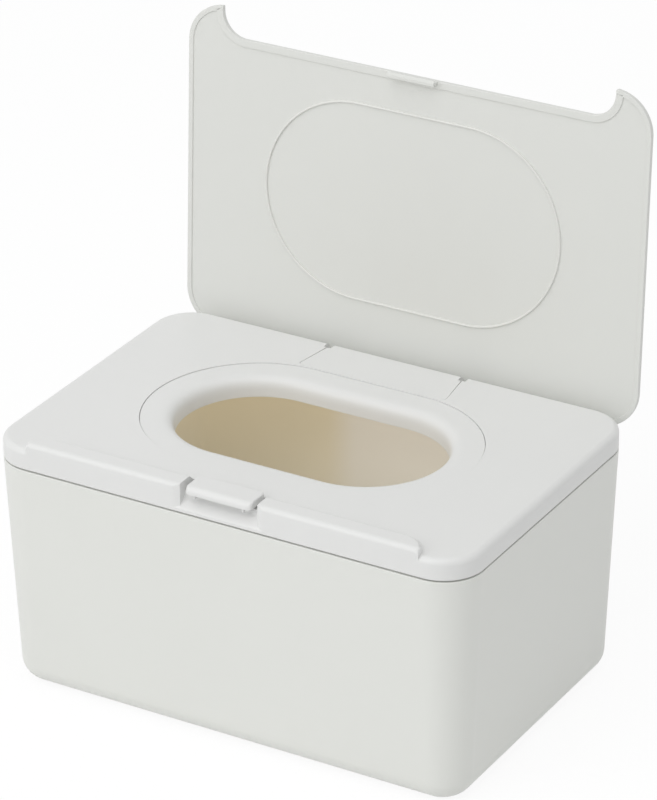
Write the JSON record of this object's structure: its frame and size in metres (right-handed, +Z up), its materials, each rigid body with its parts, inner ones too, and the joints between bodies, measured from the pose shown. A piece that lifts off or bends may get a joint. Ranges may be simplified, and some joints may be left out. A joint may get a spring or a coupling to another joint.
{
  "type": "wipes dispenser",
  "caption": "Box for a stack of wipes with a rounded oval mouth, a notched flip lid on a rear spring hinge and a push-button latch at the front.",
  "frame": {"origin": "centre of the tub's flat underside", "axes": "+Z up, -Y to the front with the latch, +Y to the hinge, +X to the right seen from the front"},
  "size_m": [0.2, 0.1471, 0.2273],
  "materials": {
    "white_plastic": "satin warm white",
    "soft_seal": "soft matte off-white",
    "spring_steel": "bright drawn wire"
  },
  "bodies": {
    "tub": {"tub": "white_plastic"},
    "deck": {"deck": "white_plastic", "mouth_ring": "white_plastic", "hinge_cover": "white_plastic", "lid_spring": "spring_steel", "button_spring": "spring_steel"},
    "lid": {"lid": "white_plastic", "lid_seal": "soft_seal", "hinge_pin": "spring_steel"},
    "button": {"latch_button": "white_plastic"}
  },
  "joints": [
    {"name": "deck_lift", "type": "slide", "parent": "tub", "child": "deck", "axis": [0, 0, 1], "range_m": [0, 0.12]},
    {"name": "lid_hinge", "type": "hinge", "parent": "deck", "child": "lid", "pos_m": [0, 0.06435, 0.0967], "axis": [1, 0, 0], "range_deg": [0, 93.1], "stiffness_Nm_per_rad": 0.03, "springref_deg": -34.38, "deforming": ["lid_spring"]},
    {"name": "button_press", "type": "hinge", "parent": "deck", "child": "button", "pos_m": [0, -0.05755, 0.0972], "axis": [1, 0, 0], "range_deg": [0, 10], "stiffness_Nm_per_rad": 0.2, "springref_deg": -5.73, "deforming": ["button_spring"]}
  ]
}
